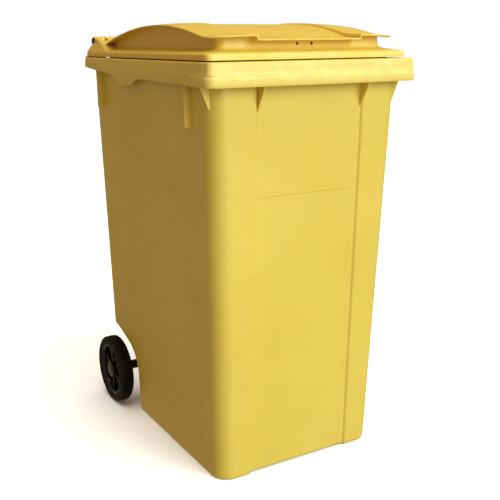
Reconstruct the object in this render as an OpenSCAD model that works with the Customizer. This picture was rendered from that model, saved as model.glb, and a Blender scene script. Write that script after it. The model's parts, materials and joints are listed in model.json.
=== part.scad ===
// Two-wheeled waste bin with a hinged lid.
// Drawn with x = 0 on the plane of symmetry, y = 0 on the front face of the rim,
// z = 0 on the ground. The last lines move the origin to the middle of the footprint.

/* [Rim] */
// Height of the rim's top face
rim_top = 1021.5; // [1000:0.5:1040]
// Half width of the rim's upper band
rim_half = 283; // [278:1:288]
// Length of the rim from its front face to its back end
rim_len = 737; // [730:1:745]
// Depth of the skirt below the rim's top at the front
skirt_depth = 53.5; // [50:0.5:58]

/* [Body] */
// Half width of the body just under the rim
top_half = 260.5; // [256:0.5:262]
// Half width of the body at the ground
foot_half = 234.5; // [230:0.5:236]
// Front wall just under the rim
front_top_y = 26.5; // [24:0.5:30]
// Front wall at the ground
front_foot_y = 70.5; // [66:0.5:76]
// Back wall above the wheel bay
back_y = 731; // [726:1:733]
// Thickness of the walls
wall = 4; // [3:0.5:4.5]
// Half width of the recessed front panel
panel_half = 147; // [140:1:155]
// Depth of the recessed front panel
panel_depth = 5; // [3:0.5:6]

/* [Wheels] */
// Radius of the tyre
wheel_r = 100; // [98:1:102]
// Width of the wheel
wheel_w = 40; // [36:1:44]
// Distance from the middle plane to the wheel's outer face
wheel_out = 283; // [280:1:286]
// Wheel axis, behind the rim's front face
axle_y = 674; // [668:1:680]
// Radius of the axle
axle_r = 11; // [10:0.5:11]

/* [Lid] */
// Gap between rim and closed lid
lid_gap = 3; // [2.5:0.5:4]
// Half width of the lid's flange
flange_half = 273; // [270:1:275]
// Front face of the lid's flange
flange_front_y = 21; // [18:1:24]
// Half width of the roof
roof_half = 247; // [242:1:250]
// Half width of the roof's middle channel
channel_half = 139; // [130:1:145]
// Highest point of the roof
crest_z = 1108; // [1104:1:1112]

/* [Hinge] */
// Hinge axis, behind the rim's front face
hinge_y = 740; // [738:1:742]
// Hinge axis above the ground
hinge_z = 1065; // [1064:0.5:1067]
// Radius of the hinge pins
pin_r = 6; // [5:0.5:7]
// Radius of the lid's hinge barrel
barrel_r = 13; // [12:0.5:14]

/* [Handle] */
// Handle bar axis, behind the rim's front face
bar_y = 752; // [748:1:754]
// Handle bar axis above the ground
bar_z = 1004; // [1002:1:1006]
// Radius of the handle bar
bar_r = 13; // [12:0.5:14]

/* [Hidden] */

$fn = 96;
eps = 0.01;
wide = 400;
right = 1;
left = -1;

// Footprint: from the skirt's lower band in front to the back of the wheels
band_step = 5;
front_y = -band_step;
rear_y = axle_y + wheel_r;
mid_y = (front_y + rear_y) / 2;

// Running and standing clearances on radius
running_fit = 0.07;
snug_fit = 0.03;

// Body
skirt_z = rim_top - skirt_depth;
band_z = rim_top - 28.5;
band_rear_y = 60;
front_corner_r = 44;
back_corner_r = 20;
foot_edge = 9;
floor_z = 12;
seam_z = 420;
x_taper = (top_half - foot_half) / skirt_z;
y_taper = (front_foot_y - front_top_y) / skirt_z;
skirt_t = 3.5;
deck_t = 4;
foot_arch = 5;
foot_arch_half = panel_half - 2;
bay_foot_y = 560;
bay_ledge_z = 226;

// Hand recess in the top of the back wall, with a floor that slopes out to the wall
recess_y = 706;
recess_half = 222;
recess_foot_z = 870;
recess_slope = 1.4;

// Webs under the rim
gusset_x = 144;
web_t = 3;
rib_reach = 276;
rear_rib_reach = 281;

// Brackets
outer_bracket_x = 223;
outer_bracket_t = 12;
inner_bracket_x = 72;
inner_bracket_t = 8;
bracket_z = 920;
bar_wall = 3.5;
lug_back_y = hinge_y + 11;

// Lid
flange_z = rim_top + lid_gap;
flange_h = 13.5;
flange_top = flange_z + flange_h;
flange_back_y = 743;
shelf_top = 1047;
lid_t = 3.5;
roof_t = 3.5;
box_half = 224;
box_front_y = 62;
lip_y = 33;
crest_y = 330;
front_arc_y = 100;
front_arc_drop = 27;
back_arc_y = 680;
back_arc_drop = 48;
lip_z = 1077;
channel_crest_z = 1105.5;
channel_drop = 31;
channel_lip_z = 1068.5;
ramp_start_y = 575;
ramp_top_half = 253;
slot_front_y = 700;
hole_x = 20;
hole_z = 1057.7;
hole_r = 3.5;
roof_meets_ramp_y = 676;
rib_back_y = 650;
slot_gap = 2;
lug_x0 = outer_bracket_x - slot_gap;
lug_x1 = outer_bracket_x + outer_bracket_t + slot_gap;
knuckle_len = 22;
pin_head_r = 9.5;
pin_seat_r = 10;

// Wheels
axle_z = wheel_r;
tyre_in_r = 76;
hub_rim_r = 67;
hub_in = wheel_out - wheel_w;
boss_r = 21;
pin_x = wheel_out - 21;
groove_r = 8.4;
lock_r = 3;
lock_tip = groove_r + 0.2;
lock_collar_z = 15;
lock_collar_t = 3;
chamber_r = 5;
chamber_top = 34;
plug_t = 5;
washer_t = 1.6;
support_r = 19;
support_web_t = 5;
boss_in_x = 142;
boss_out_x = 184;

// Points of an arc of circle, from angle a to angle b
function arc(cy, cz, r, a, b, n) =
    [for (i = [0:n]) let (t = a + (b - a) * i / n) [cy + r * cos(t), cz + r * sin(t)]];

// Height of a low crown that drops by d at a distance w from its crest
function crown(y, top, w_front, d_front, w_back, d_back) =
    y < crest_y ? top - d_front * pow((crest_y - y) / w_front, 2)
                : top - d_back * pow((y - crest_y) / w_back, 2);
function wing_z(y) = y < front_arc_y
    ? max(lip_z + (y - lip_y) * 0.04, crown(y, crest_z, crest_y - front_arc_y, front_arc_drop, 1, 1))
    : crown(y, crest_z, crest_y - front_arc_y, front_arc_drop, back_arc_y - crest_y, back_arc_drop);
function channel_z(y) = y < front_arc_y
    ? max(channel_lip_z + (y - lip_y) * 0.05,
          crown(y, channel_crest_z, crest_y - front_arc_y, channel_drop, 1, 1))
    : crown(y, channel_crest_z, crest_y - front_arc_y, channel_drop, back_arc_y - crest_y, back_arc_drop);

// Stations along the roof where its height is set
roof_ys = concat([lip_y, 50, 72, 86], [for (y = [front_arc_y:20:back_arc_y]) y], [695]);

// Extrudes a y-z outline along x, from x0 to x1
module along_x(x0, x1) {
    translate([x0, 0, 0]) rotate([90, 0, 90]) linear_extrude(height = x1 - x0) children();
}

// Extrudes a y-z outline past both sides of the bin
module across() {
    along_x(-wide, wide) children();
}

// A disc or tube across x, centred on a y-z point
module rod(x0, x1, y, z, r) {
    translate([x0, y, z]) rotate([0, 90, 0]) cylinder(r = r, h = x1 - x0);
}

// Puts a piece drawn for the right side on either side
module mirrored(side) {
    mirror([side < 0 ? 1 : 0, 0, 0]) children();
}

// Rectangle with round corners, one radius in front and one behind
module plan(half, y0, y1, rf, rb) {
    translate([-half, y0 + rf]) square([2 * half, y1 - y0 - rf - rb]);
    translate([-half + rf, y0]) square([2 * (half - rf), rf + eps]);
    translate([-half + rb, y1 - rb - eps]) square([2 * (half - rb), rb + eps]);
    for (s = [left, right]) {
        translate([s * (half - rf), y0 + rf]) circle(r = rf);
        translate([s * (half - rb), y1 - rb]) circle(r = rb);
    }
}

module slice(z, half, y0, y1, rf, rb) {
    translate([0, 0, z]) linear_extrude(height = eps) plan(half, y0, y1, rf, rb, $fn = 32);
}

// Tapered bucket: inset is measured inwards from the outer walls
module bucket(inset, z0, z1, edge) {
    hull() {
        for (p = [[z0, edge], [z0 + edge, 0], [z1, 0]])
            slice(p[0], foot_half + x_taper * p[0] - inset - p[1] * 0.7,
                front_foot_y - y_taper * p[0] + inset + p[1] * 0.7, back_y - inset - p[1] * 0.7,
                front_corner_r - inset, back_corner_r - inset);
    }
}

// Outline of the space behind the foot, where axle and wheels go; grow moves it inwards
module bay_outline(grow) {
    polygon(concat([[bay_foot_y - 10 - grow, -20]],
        [[bay_foot_y - grow, 55]],
        arc(bay_foot_y + 95, 112 + grow, 95 + grow, 180, 104, 10),
        [[back_y - 50, bay_ledge_z + grow - 4]],
        arc(back_y - 36, bay_ledge_z + 40 + grow, 41, -60, 0, 6),
        [[back_y + 40, bay_ledge_z + 90 + grow]],
        [[back_y + 40, -20]]));
}

// Height of the recess floor, moved down by grow square to its slope
function recess_z(y, grow) = recess_foot_z + recess_slope * (back_y - y)
    - grow * sqrt(1 + recess_slope * recess_slope);

// Outline of the hand recess under the handle bar; grow moves it inwards
module recess_outline(grow) {
    polygon([[back_y + 20, recess_z(back_y + 20, grow)],
        [recess_y - grow, recess_z(recess_y - grow, grow)],
        [recess_y - grow, rim_top + 1], [back_y + 20, rim_top + 1]]);
}

// Recess of the front panel, parallel to the front wall
module panel_cut(half, depth) {
    rise = atan(y_taper);
    translate([-half, front_foot_y - 30, 0]) rotate([rise, 0, 0])
        translate([0, 0, -30]) cube([2 * half, 30 * cos(rise) + depth, rim_top + 30]);
}

// Shallow recess of the side wall inside its arched relief line
module arch_panel(side) {
    lean = atan(x_taper);
    mirrored(side)
        translate([foot_half - 1.5, 0, 0]) rotate([0, lean, 0])
            along_x(0, 30)
                polygon(concat([[357, 14], [352, 640]], arc(482, 690, 132, 178, 95, 10),
                    [[back_y + 30, 838], [back_y + 30, 14]]));
}

// Rim skirt as seen from the side
module skirt_profile() {
    polygon([[-30, skirt_z], [16, skirt_z + 0.5], [133, skirt_z + 4], [294, skirt_z + 6.5],
        [372, skirt_z + 7], [388, skirt_z + 3], [410, skirt_z - 7], [430, skirt_z - 11],
        [460, skirt_z - 13], [490, skirt_z - 11], [510, skirt_z - 4], [535, skirt_z + 9],
        [550, skirt_z + 14], [653, skirt_z + 20], [rim_len + 10, skirt_z + 28.5],
        [rim_len + 10, rim_top], [-30, rim_top]]);
}

// Hollow deck and skirt before the skirt's lower edge is cut
module rim_shell() {
    difference() {
        union() {
            translate([0, 0, skirt_z - 20]) linear_extrude(height = rim_top - skirt_z + 20)
                plan(rim_half, 0, rim_len, 12, 6);
            translate([0, 0, skirt_z - 20]) linear_extrude(height = band_z - skirt_z + 20)
                intersection() {
                    plan(rim_half + band_step, -band_step, rim_len, 34, 6);
                    translate([-wide, -50]) square([2 * wide, 50 + band_rear_y]);
                }
        }
        translate([0, 0, skirt_z - 30]) linear_extrude(height = rim_top - deck_t - skirt_z + 30)
            plan(rim_half - skirt_t, skirt_t, rim_len - skirt_t, 9, 3);
        // The lower band is as thin as the upper one
        translate([0, 0, skirt_z - 30]) linear_extrude(height = band_z - deck_t - skirt_z + 30)
            intersection() {
                plan(rim_half + band_step - skirt_t, skirt_t - band_step, rim_len, 31, 3);
                translate([-wide, -50]) square([2 * wide, 47 + band_rear_y]);
            }
        // Open behind the hand recess
        translate([-recess_half, recess_y, skirt_z - 30]) cube([2 * recess_half, 100, 200]);
    }
}

// Triangular web between the front wall and the skirt
module front_gusset(x) {
    along_x(x - web_t / 2, x + web_t / 2)
        polygon([[front_top_y + 8, skirt_z - 56], [front_top_y + 14, skirt_z - 56],
            [front_top_y + 14, rim_top - 1], [1, rim_top - 1], [-2, skirt_z + 0.5]]);
}

// Web between side wall and skirt, with a flat lower end
module side_rib(y, reach, drop, taper_to) {
    rotate([90, 0, 0]) translate([0, 0, -y - web_t]) linear_extrude(height = web_t)
        polygon([[top_half - 8, drop], [taper_to, drop], [reach, skirt_z + 4],
            [reach, rim_top - 2], [top_half - 8, rim_top - 2]]);
}

// Outer skin of the bucket as a solid block that stands a little above the rim
module tall_block() {
    difference() {
        bucket(0, 0, rim_top + 2, foot_edge);
        panel_cut(panel_half, panel_depth);
    }
}

// The same block, cut off level with the rim's top
module bucket_block() {
    difference() {
        tall_block();
        translate([-wide, -50, rim_top]) cube([2 * wide, rim_len + 100, 10]);
    }
}

// The whole bucket, before it is parted at the seam
module bucket_shell() {
    difference() {
        bucket_block();
        across() bay_outline(0);
        recess_block(wall);
        translate([-foot_arch_half, 0, -1]) cube([2 * foot_arch_half, wide, foot_arch + 1]);
        for (s = [left, right]) arch_panel(s);
        // Inside of the bucket
        difference() {
            bucket(wall, floor_z, rim_top + 2, 5);
            across() bay_outline(wall);
            panel_cut(panel_half + wall, panel_depth + wall);
        }
    }
}

// Walls above the seam
module body() {
    color("#e9c83c")
    intersection() {
        bucket_shell();
        translate([-wide, -50, seam_z]) cube([2 * wide, rim_len + 100, rim_top]);
    }
}

// Floor, wheel bay and walls below the seam
module foot() {
    color("#e4c136")
    intersection() {
        bucket_shell();
        translate([-wide, -50, -10]) cube([2 * wide, rim_len + 100, seam_z + 10]);
    }
}

module recess_block(grow) {
    along_x(-recess_half - grow, recess_half + grow) recess_outline(grow);
}

// Walls and sloping floor of the hand recess, set into the body's back wall
module hand_recess() {
    color("#dfba35")
    intersection() {
        bucket_block();
        difference() {
            recess_block(wall);
            recess_block(0);
        }
    }
}

// Deck, skirt and webs that surround the top of the bucket
module rim() {
    color("#ecd04c")
    difference() {
        union() {
            intersection() {
                rim_shell();
                across() skirt_profile();
            }
            for (s = [left, right]) {
                front_gusset(s * gusset_x);
                mirrored(s) {
                    side_rib(52, rib_reach, skirt_z - 46, top_half - 4);
                    side_rib(131, rib_reach, skirt_z - 92, rib_reach - 1);
                    side_rib(655, rear_rib_reach, skirt_z - 79, rear_rib_reach);
                }
            }
        }
        tall_block();
    }
}

// Side view of a plate that carries the handle bar, clear of the wall at y0
module bracket_outline(y0) {
    difference() {
        union() {
            polygon([[y0, bracket_z], [back_y + 2, bracket_z], [bar_y + 12, bar_z - 12],
                [bar_y + 14, bar_z + 9], [bar_y - 2, rim_top - 2], [y0, rim_top - 2]]);
            translate([bar_y, bar_z]) circle(r = bar_r + 4);
        }
        translate([bar_y, bar_z]) circle(r = bar_r);
    }
}

// Outer plate, with the lug that carries the lid's pin
module bracket_outer(side) {
    x0 = side > 0 ? outer_bracket_x : -outer_bracket_x - outer_bracket_t;
    color("#e5c238")
    difference() {
        union() {
            along_x(x0, x0 + outer_bracket_t)
                difference() {
                    bracket_outline(back_y);
                    translate([back_y - 1, skirt_z + 20]) square([rim_len - back_y + 1, 60]);
                }
            along_x(x0, x0 + outer_bracket_t) {
                translate([rim_len, bar_z + bar_r + 3])
                    square([lug_back_y - rim_len, hinge_z - bar_z - bar_r - 3]);
                translate([hinge_y - barrel_r, rim_top])
                    square([lug_back_y - hinge_y + barrel_r, hinge_z - rim_top]);
            }
            rod(x0, x0 + outer_bracket_t, hinge_y, hinge_z, barrel_r);
        }
        rod(x0 - 1, x0 + outer_bracket_t + 1, hinge_y, hinge_z, pin_r + running_fit);
    }
}

module bracket_inner(side) {
    x0 = side > 0 ? inner_bracket_x : -inner_bracket_x - inner_bracket_t;
    color("#e5c238")
    along_x(x0, x0 + inner_bracket_t) bracket_outline(recess_y);
}

// Hollow grip between the outer plates
module handle_bar() {
    half = outer_bracket_x + outer_bracket_t;
    color("#efd355")
    difference() {
        rod(-half, half, bar_y, bar_z, bar_r);
        rod(-half - 1, half + 1, bar_y, bar_z, bar_r - bar_wall);
    }
}

// Two webs and a boss that hold the axle behind the foot
module axle_support(side) {
    x0 = side > 0 ? boss_in_x : -boss_out_x;
    len = boss_out_x - boss_in_x;
    color("#e5c238")
    difference() {
        union() {
            rod(x0, x0 + len, axle_y, axle_z, support_r);
            intersection() {
                for (x = [x0, x0 + len - support_web_t])
                    along_x(x, x + support_web_t)
                        difference() {
                            polygon([[bay_foot_y - 20, 30], [axle_y + 4, axle_z - support_r + 0.5],
                                [axle_y + support_r - 0.5, axle_z], [axle_y + 14, axle_z + 30],
                                [axle_y - 10, bay_ledge_z + 6], [bay_foot_y + 40, bay_ledge_z + 2],
                                [bay_foot_y - 20, 130]]);
                            translate([bay_foot_y + 52, 150]) circle(r = 22);
                        }
                across() bay_outline(0);
            }
        }
        rod(x0 - 1, x0 + len + 1, axle_y, axle_z, axle_r + snug_fit);
    }
}

// Curved sheet under a height function: wing or channel
module roof_sheet(wing) {
    top = [for (y = roof_ys) [y, wing ? wing_z(y) : channel_z(y)]];
    low = [for (i = [len(top) - 1:-1:0]) [top[i][0], top[i][1] - roof_t]];
    polygon(concat(top, low));
}

// Everything below the roof's underside, down to the shelf
module under_roof(wing) {
    top = [for (y = roof_ys) [y, (wing ? wing_z(y) : channel_z(y)) - roof_t / 2]];
    polygon(concat(top, [[695, flange_z - 30], [lip_y, flange_z - 30]]));
}

module step_wall_outline() {
    top = [for (y = roof_ys) [y, wing_z(y)]];
    low = [for (i = [len(roof_ys) - 1:-1:0]) [roof_ys[i], channel_z(roof_ys[i]) - roof_t]];
    polygon(concat(top, low));
}

module roof() {
    intersection() {
        union() {
            along_x(-roof_half, -channel_half) roof_sheet(true);
            along_x(channel_half, roof_half) roof_sheet(true);
            along_x(-channel_half, channel_half) roof_sheet(false);
            along_x(-channel_half - 2, -channel_half + 1) step_wall_outline();
            along_x(channel_half - 1, channel_half + 2) step_wall_outline();
        }
        translate([0, 0, flange_z]) linear_extrude(height = 120)
            plan(roof_half, lip_y, 710, 24, 8);
    }
}

// Upright walls that carry the roof, set in from its edges
module box_walls() {
    intersection() {
        translate([0, 0, shelf_top - lid_t]) linear_extrude(height = 100)
            difference() {
                plan(box_half, box_front_y, 700, 22, 12);
                plan(box_half - lid_t, box_front_y + lid_t, 700 - lid_t, 19, 9);
            }
        union() {
            along_x(-roof_half, -channel_half) under_roof(true);
            along_x(channel_half, roof_half) under_roof(true);
            along_x(-channel_half, channel_half) under_roof(false);
        }
    }
}

module flange_slice(z, half, y0, y1, r) {
    translate([0, 0, z]) linear_extrude(height = eps) plan(half, y0, y1, r, 6, $fn = 48);
}

// Edge skirt and the shelf that slopes up from it to the box walls
module flange() {
    translate([0, 0, flange_z]) linear_extrude(height = flange_h - 3)
        difference() {
            plan(flange_half, flange_front_y, flange_back_y, 15, 4);
            plan(flange_half - lid_t, flange_front_y + lid_t, flange_back_y + 20, 12, 4);
        }
    difference() {
        hull() {
            flange_slice(flange_top - 4, flange_half, flange_front_y, flange_back_y - 8, 15);
            flange_slice(flange_top - 1, flange_half - 1.5, flange_front_y + 1.5,
                flange_back_y - 8, 15);
            flange_slice(shelf_top, box_half + 8, box_front_y - 8, flange_back_y - 20, 26);
        }
        hull() {
            flange_slice(flange_top - 5, flange_half - lid_t, flange_front_y + lid_t,
                flange_back_y - 9, 12);
            flange_slice(flange_top - 1 - lid_t, flange_half - 5, flange_front_y + 5,
                flange_back_y - 9, 12);
            flange_slice(shelf_top - lid_t, box_half + 6, box_front_y - 6, flange_back_y - 21, 24);
        }
        translate([0, 0, flange_top - 10]) linear_extrude(height = 40)
            plan(box_half - lid_t, box_front_y + lid_t, flange_back_y - 40, 19, 9);
    }
}

// Rib under the lid that drops just inside the rim, in front and at the sides
module locating_rib() {
    half = flange_half - 29;
    front = flange_front_y + 21;
    translate([0, 0, rim_top - 9]) linear_extrude(height = 29.5)
        difference() {
            plan(half, front, rib_back_y, 34, 1);
            plan(half - 2.5, front + 2.5, rib_back_y + 10, 31.5, 1);
        }
}

// Side view of the ramp that rises to the hinge barrel
module ramp_outline(inset) {
    polygon(concat([[ramp_start_y + 8, flange_z + (inset > 0 ? -5 : 2)],
        [ramp_start_y + inset * 5, flange_top - inset], [597, 1039 - inset], [615, 1043 - inset],
        [635, 1048.5 - inset], [655, 1055 - inset], [731, 1075 - inset],
        [hinge_y - 4, hinge_z + barrel_r - 0.8 - inset]],
        inset > 0 ? [[hinge_y, hinge_z - 4], [hinge_y + 1, flange_z - 5]]
            : concat(arc(hinge_y, hinge_z, barrel_r - 1, 90, 0, 8), [[hinge_y + 8, hinge_z - 14],
                [flange_back_y, flange_z + 6], [flange_back_y, flange_z]])));
}

// End view of the ramp, whose sides lean in as it rises
module ramp_section(inset) {
    right_side = [[flange_half - inset, flange_z + (inset > 0 ? -5 : 0)], [flange_half - inset, 1035],
        [270 - inset, 1040], [259 - inset, 1054], [ramp_top_half - inset, hinge_z],
        [ramp_top_half - inset, 1090]];
    left_side = [for (i = [len(right_side) - 1:-1:0]) [-right_side[i][0], right_side[i][1]]];
    translate([0, 800, 0]) rotate([90, 0, 0]) linear_extrude(height = 300)
        polygon(concat(right_side, left_side));
}

module ramp_solid(inset) {
    intersection() {
        along_x(-flange_half, flange_half) ramp_outline(inset);
        ramp_section(inset);
    }
}

module lid_hinge_side() {
    // Outer and inner knuckles, each with its web
    rod(lug_x1, ramp_top_half, hinge_y, hinge_z, barrel_r);
    along_x(lug_x1, lug_x1 + web_t) hinge_web();
    along_x(lug_x0 - web_t, lug_x0) hinge_web();
    rod(lug_x0 - knuckle_len, lug_x0, hinge_y, hinge_z, barrel_r);
}

module hinge_web() {
    polygon([[slot_front_y - 4, flange_top], [slot_front_y - 4, 1064], [731, 1074],
        [hinge_y, hinge_z + 10], [hinge_y + 6, hinge_z - 6], [hinge_y - 6, hinge_z - 11]]);
}

module lid() {
    color("#f0d054")
    difference() {
        union() {
            difference() {
                union() {
                    flange();
                    difference() {
                        ramp_solid(0);
                        ramp_solid(lid_t);
                    }
                }
                // Room under the roof inside the box walls
                translate([-box_half + lid_t, box_front_y + 10, flange_z - 1])
                    cube([2 * (box_half - lid_t), roof_meets_ramp_y - box_front_y - 10, 60]);
                // Slots for the body's hinge lugs
                for (s = [left, right])
                    translate([s > 0 ? lug_x0 : -lug_x1, slot_front_y, flange_z - 5])
                        cube([lug_x1 - lug_x0, 80, 80]);
            }
            roof();
            box_walls();
            locating_rib();
            rod(-lug_x0 + 20, lug_x0 - 20, hinge_y, hinge_z, barrel_r);
            lid_hinge_side();
            mirrored(left) lid_hinge_side();
        }
        rod(-lug_x0 + knuckle_len, lug_x0 - knuckle_len, hinge_y, hinge_z, barrel_r - lid_t);
        mirrored(left) pin_bore();
        pin_bore();
        for (s = [left, right])
            translate([s * hole_x, box_front_y - 2, hole_z]) rotate([-90, 0, 0])
                cylinder(r = hole_r, h = 10);
    }
}

// Bore for a hinge pin, and the seat of its head in the leaning side of the ramp
module pin_bore() {
    rod(lug_x0 - knuckle_len - 8, ramp_top_half + 2, hinge_y, hinge_z, pin_r + snug_fit);
    rod(ramp_top_half, flange_half, hinge_y, hinge_z, pin_seat_r);
}

// Pin with a flat round head outside the lid's knuckle
module hinge_pin(side) {
    tip = lug_x0 - 20;
    color("#141414")
    mirrored(side) {
        rod(tip, ramp_top_half + 0.5, hinge_y, hinge_z, pin_r);
        translate([ramp_top_half, hinge_y, hinge_z]) rotate([0, 90, 0])
            cylinder(r1 = pin_head_r, r2 = pin_head_r - 1, h = 4);
    }
}

module axle() {
    half = wheel_out - 11;
    color("#4a4a4a")
    difference() {
        rod(-half, half, axle_y, axle_z, axle_r);
        for (s = [left, right])
            difference() {
                rod(s * pin_x - 3.5, s * pin_x + 3.5, axle_y, axle_z, axle_r + 1);
                rod(s * pin_x - 4, s * pin_x + 4, axle_y, axle_z, groove_r);
            }
    }
}

// Turns a profile drawn as (radius, distance outwards) round the wheel axis
module turned(side) {
    translate([0, axle_y, axle_z]) rotate([0, side * 90, 0]) rotate_extrude() children();
}

module tyre(side) {
    shoulder = 9;
    color("#1c1c1e")
    turned(side) difference() {
        union() {
            translate([tyre_in_r, hub_in]) square([wheel_r - shoulder - tyre_in_r, wheel_w]);
            translate([wheel_r - shoulder - eps, hub_in + shoulder])
                square([shoulder + eps, wheel_w - 2 * shoulder]);
            for (x = [hub_in + shoulder, wheel_out - shoulder])
                translate([wheel_r - shoulder, x]) circle(r = shoulder);
        }
        for (i = [-2:2])
            translate([wheel_r - 1.5, hub_in + wheel_w / 2 + i * 4.5 - 0.75]) square([3, 1.5]);
    }
}

module wheel_hub(side) {
    spokes = 6;
    web_x = hub_in + 15;
    color("#222224")
    difference() {
        union() {
            turned(side) {
                translate([hub_rim_r, hub_in + 3]) square([tyre_in_r - hub_rim_r, wheel_w - 6]);
                translate([boss_r - 1, web_x]) square([hub_rim_r - boss_r + 2, 6]);
                translate([0, hub_in]) square([boss_r, wheel_w - 4]);
            }
            // Spokes stand on both faces of the web; one houses the locking pin
            for (i = [0:spokes - 1])
                translate([side * (web_x + 3), axle_y, axle_z]) rotate([i * 360 / spokes, 0, 0])
                    translate([-11, -3, boss_r - 2]) cube([22, 6, hub_rim_r - boss_r + 4]);
            translate([side * pin_x, axle_y, axle_z]) cylinder(r = 9, h = 38);
        }
        rod(side > 0 ? hub_in - 1 : -wheel_out - 1, side > 0 ? wheel_out + 1 : -hub_in + 1,
            axle_y, axle_z, axle_r + running_fit);
        translate([side * pin_x, axle_y, axle_z]) cylinder(r = lock_r + running_fit, h = 20);
        translate([side * pin_x, axle_y, axle_z + lock_collar_z - 0.3])
            cylinder(r = chamber_r + running_fit, h = 60);
    }
}

// Round cap that snaps over the outer end of the hub's boss
module hub_cap(side) {
    color("#151515")
    turned(side) {
        translate([0, wheel_out - 3.9]) square([24, 2.6]);
        translate([0, wheel_out - 1.4]) square([18, 1.4]);
        translate([axle_r - 2.5, wheel_out - 8]) square([2.5 + snug_fit, 4.2]);
    }
}

module spacer_sleeve(side) {
    color("#1b1b1b")
    turned(side) translate([axle_r + snug_fit, boss_out_x + 0.1])
        square([2.5, hub_in - washer_t - 0.6 - boss_out_x]);
}

module axle_washer(side) {
    color("#8c8c8c")
    turned(side) translate([axle_r + 0.1, hub_in - washer_t - 0.35]) square([7, washer_t]);
}

module locking_pin(side) {
    color("#9a9a9a")
    translate([side * pin_x, axle_y, axle_z]) {
        translate([0, 0, lock_tip]) cylinder(r = lock_r, h = lock_collar_z + lock_collar_t - lock_tip);
        translate([0, 0, lock_collar_z]) cylinder(r = chamber_r, h = lock_collar_t);
    }
}

// Coil spring as a tube swept along a helix, with flat ends inside its wire
module locking_spring(side) {
    wire = 0.45;
    r = chamber_r - 1;
    z0 = lock_collar_z + lock_collar_t + wire + 0.05;
    z1 = chamber_top - plug_t - wire - 0.05;
    turns = 6;
    steps = 16;
    sides = 6;
    rings = turns * steps;
    pts = [for (i = [0:rings]) let (t = i / rings, a = 360 * turns * t, h = z0 + (z1 - z0) * t)
        for (k = [0:sides - 1]) let (b = 360 * k / sides)
            [(r + wire * cos(b)) * cos(a), (r + wire * cos(b)) * sin(a), h + wire * sin(b)]];
    ends = [[for (k = [0:sides - 1]) k], [for (k = [sides - 1:-1:0]) rings * sides + k]];
    walls = [for (i = [0:rings - 1]) for (k = [0:sides - 1]) let (n = (k + 1) % sides)
        [i * sides + k, (i + 1) * sides + k, (i + 1) * sides + n, i * sides + n]];
    color("#b0b0b0")
    translate([side * pin_x, axle_y, axle_z]) polyhedron(points = pts, faces = concat(ends, walls));
}

module spring_plug(side) {
    color("#181818")
    translate([side * pin_x, axle_y, axle_z + chamber_top - plug_t])
        cylinder(r = chamber_r + running_fit - 0.02, h = plug_t);
}

// Moves the origin to the middle of the footprint
module placed() {
    translate([0, -mid_y, 0]) children();
}

placed() body();
placed() foot();
placed() hand_recess();
placed() rim();
placed() handle_bar();
placed() bracket_outer(left);  // bracket_outer_left
placed() bracket_outer(right);  // bracket_outer_right
placed() bracket_inner(left);  // bracket_inner_left
placed() bracket_inner(right);  // bracket_inner_right
placed() axle_support(left);  // axle_support_left
placed() axle_support(right);  // axle_support_right
placed() lid();
placed() hinge_pin(left);  // hinge_pin_left
placed() hinge_pin(right);  // hinge_pin_right
placed() axle();
placed() wheel_hub(left);  // wheel_hub_left
placed() wheel_hub(right);  // wheel_hub_right
placed() tyre(left);  // tyre_left
placed() tyre(right);  // tyre_right
placed() hub_cap(left);  // hub_cap_left
placed() hub_cap(right);  // hub_cap_right
placed() spacer_sleeve(left);  // spacer_sleeve_left
placed() spacer_sleeve(right);  // spacer_sleeve_right
placed() axle_washer(left);  // axle_washer_left
placed() axle_washer(right);  // axle_washer_right
placed() locking_pin(left);  // locking_pin_left
placed() locking_pin(right);  // locking_pin_right
placed() locking_spring(left);  // locking_spring_left
placed() locking_spring(right);  // locking_spring_right
placed() spring_plug(left);  // spring_plug_left
placed() spring_plug(right);  // spring_plug_right
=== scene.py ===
"""A yellow two-wheeled waste bin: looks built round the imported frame.

All shapes are worked out in millimetres in the drawing's own axes (x = 0 in the middle,
y = 0 on the front face of the rim, z = 0 on the ground) and moved to the row frame at the end.
"""
import json
import math

import bmesh
import bpy
import numpy as np
from mathutils import Matrix, Vector


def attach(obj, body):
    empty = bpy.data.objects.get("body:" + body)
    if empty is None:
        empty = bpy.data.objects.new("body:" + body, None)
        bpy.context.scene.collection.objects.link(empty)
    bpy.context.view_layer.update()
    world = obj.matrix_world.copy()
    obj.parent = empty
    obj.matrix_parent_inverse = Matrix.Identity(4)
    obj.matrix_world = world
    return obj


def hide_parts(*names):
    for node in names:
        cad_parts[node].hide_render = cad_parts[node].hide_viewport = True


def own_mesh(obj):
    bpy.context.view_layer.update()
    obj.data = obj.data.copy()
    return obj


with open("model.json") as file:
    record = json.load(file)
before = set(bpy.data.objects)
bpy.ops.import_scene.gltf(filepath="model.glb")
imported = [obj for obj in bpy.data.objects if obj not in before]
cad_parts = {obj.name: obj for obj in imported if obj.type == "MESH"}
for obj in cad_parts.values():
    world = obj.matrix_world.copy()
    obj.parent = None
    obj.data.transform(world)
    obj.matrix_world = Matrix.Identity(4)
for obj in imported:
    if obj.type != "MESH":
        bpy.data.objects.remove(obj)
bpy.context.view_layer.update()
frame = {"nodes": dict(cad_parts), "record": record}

JOINTS = {j["name"]: j for j in frame["record"]["behaviour"]["joints"]}

# Key places, in mm. The drawing's y axis is the row's y axis plus SHIFT.
HINGE_Y, HINGE_Z = 740.0, 1065.0
SHIFT = HINGE_Y - JOINTS["lid_hinge"]["pos_m"][1] * 1000
AXLE_Y = JOINTS["wheel_left_spin"]["pos_m"][1] * 1000 + SHIFT
AXLE_Z = JOINTS["wheel_left_spin"]["pos_m"][2] * 1000
BAR_Y, BAR_Z, BAR_R = 752.0, 1004.0, 13.0
RIM_TOP = 1021.5
BACK_Y = 731.0
REAR_END = 737.0
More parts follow.
